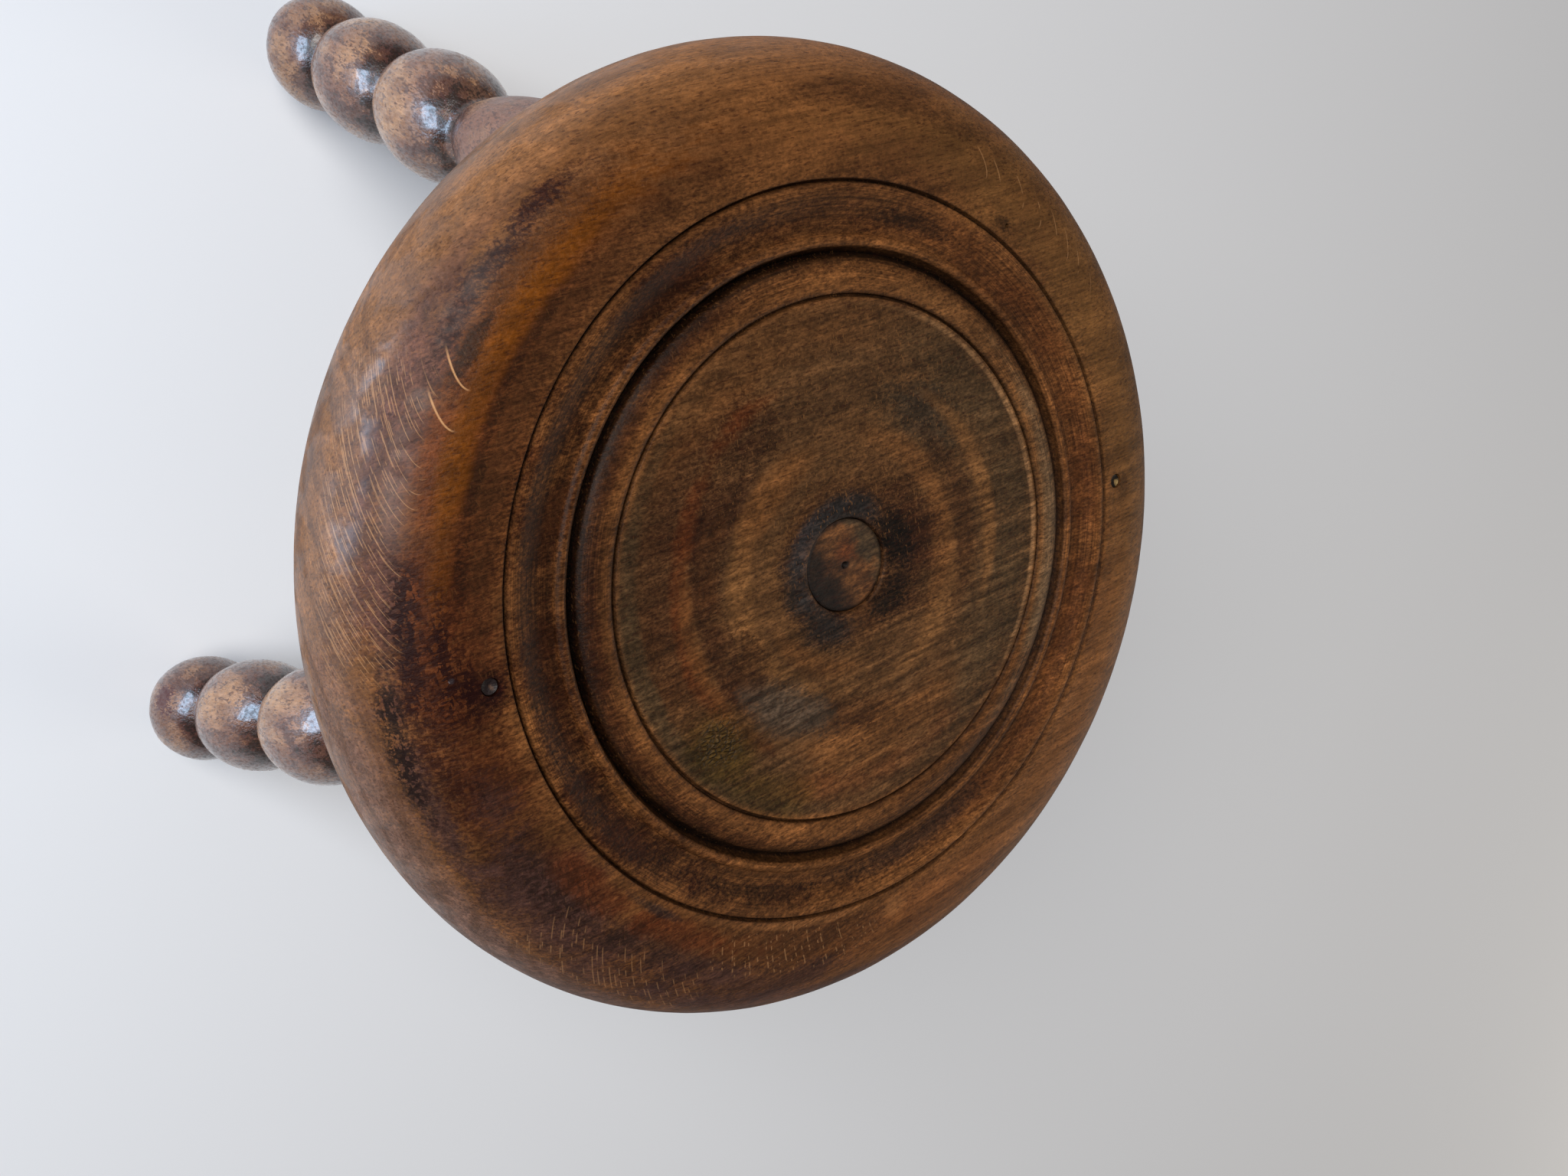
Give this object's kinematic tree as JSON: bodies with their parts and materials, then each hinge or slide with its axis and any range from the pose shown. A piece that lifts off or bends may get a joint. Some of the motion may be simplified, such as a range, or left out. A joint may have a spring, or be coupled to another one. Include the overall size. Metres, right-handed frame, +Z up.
{
  "type": "tripod stool",
  "caption": "Low round stool: a thick turned seat with ring mouldings and a dished middle, on splayed bead-turned legs.",
  "frame": {"origin": "middle of the centre plug's top face, on the seat's turning axis; the floor is 349.3 mm below it", "axes": "+Z up along the seat's turning axis; +Y from the axis towards the back leg; +X to the right"},
  "size_m": [0.3364, 0.3525, 0.353],
  "materials": {
    "seat_wood": "dark walnut stain on beech, waxed, worn",
    "leg_wood": "old glossy varnish over lighter beech, mottled and rubbed",
    "plug_wood": "dark stained plug, waxed",
    "nail_metal": "old tarnished nail head"
  },
  "bodies": {
    "root": {"seat": "seat_wood", "back_leg": "leg_wood", "left_leg": "leg_wood", "right_leg": "leg_wood", "centre_plug": "plug_wood", "right_nail": "nail_metal", "left_nail": "nail_metal"}
  },
  "joints": []
}
